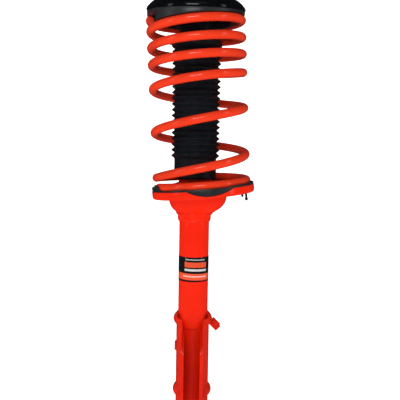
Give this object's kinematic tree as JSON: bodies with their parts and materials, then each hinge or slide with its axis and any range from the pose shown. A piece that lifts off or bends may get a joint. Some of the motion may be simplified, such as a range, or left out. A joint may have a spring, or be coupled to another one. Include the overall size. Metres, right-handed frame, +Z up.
{
  "type": "suspension strut",
  "caption": "Suspension strut: damper tube with knuckle ears, piston rod under a dust boot, coil spring between two seats, and a top mount on a swivel bearing.",
  "frame": {"origin": "centre of the top mount's face that seats against the strut tower, on the damper axis", "axes": "+Z up along the damper axis, -Y the way the knuckle ears point, +X along the knuckle bolts"},
  "size_m": [0.1862, 0.1734, 0.775],
  "materials": {
    "red_tube": "gloss powder coat",
    "red_seat": "gloss powder coat",
    "red_bracket": "gloss powder coat",
    "spring_red": "gloss epoxy coat",
    "seat_black": "gloss black",
    "boot_rubber": "satin rubber",
    "pad_rubber": "matte rubber",
    "seal_rubber": "matte",
    "foam": "matte foam",
    "zinc_plate": "satin black coat",
    "bright_zinc": "zinc plated",
    "bearing_steel": "ground",
    "cage_plastic": "moulded",
    "rod_chrome": "hard chrome",
    "sinter": "sintered",
    "band_plastic": "moulded",
    "bush_bronze": "bronze backed",
    "cold_steel": "drawn tube",
    "label_film": "gloss film"
  },
  "bodies": {
    "top_mount": {"mount_plate": "zinc_plate", "mount_cup": "zinc_plate", "tower_studs": "bright_zinc", "mount_rubber": "seal_rubber", "mount_sleeve": "bright_zinc", "rod_washer": "bright_zinc", "rod_nut": "bright_zinc", "bearing_upper_race": "bearing_steel", "bump_stop_cup": "zinc_plate", "bump_stop": "foam", "piston_rod": "rod_chrome", "rebound_stop": "seal_rubber", "stop_ring": "cold_steel", "rebound_shims": "cold_steel", "piston": "sinter", "piston_band": "band_plastic", "compression_shims": "cold_steel", "piston_nut": "cold_steel"},
    "ball_cage": {"bearing_cage": "cage_plastic", "bearing_balls": "bearing_steel"},
    "upper_seat": {"upper_spring_seat": "seat_black", "bearing_lower_race": "bearing_steel", "upper_isolator": "pad_rubber", "coil_spring": "spring_red", "dust_boot": "boot_rubber"},
    "strut_body": {"damper_tube": "red_tube", "base_cap": "red_tube", "pressure_tube": "cold_steel", "base_valve": "sinter", "rod_guide": "sinter", "guide_bush": "bush_bronze", "rod_seal": "seal_rubber", "gland_nut": "zinc_plate", "seat_support": "red_seat", "lower_spring_seat": "red_seat", "lower_isolator": "pad_rubber", "knuckle_bracket": "red_bracket", "bracket_stiffener": "red_bracket", "hose_bracket": "red_bracket", "wire_tab": "red_bracket", "tube_label": "label_film"}
  },
  "joints": [
    {"name": "steer_turn", "type": "hinge", "parent": "top_mount", "child": "upper_seat", "pos_m": [0, 0, -0.033], "axis": [0, 0, 1], "range_deg": [-42, 42]},
    {"name": "cage_turn", "type": "hinge", "parent": "top_mount", "child": "ball_cage", "pos_m": [0, 0, -0.033], "axis": [0, 0, 1], "range_deg": [-21, 21]},
    {"name": "strut_travel", "type": "slide", "parent": "upper_seat", "child": "strut_body", "axis": [0, 0, 1], "range_m": [0, 0.15], "stiffness_N_per_m": 19600, "springref_m": -0.05, "deforming": ["coil_spring", "dust_boot"]}
  ],
  "couplings": [
    {"joint": "cage_turn", "follows": "steer_turn", "ratio": 0.5}
  ]
}
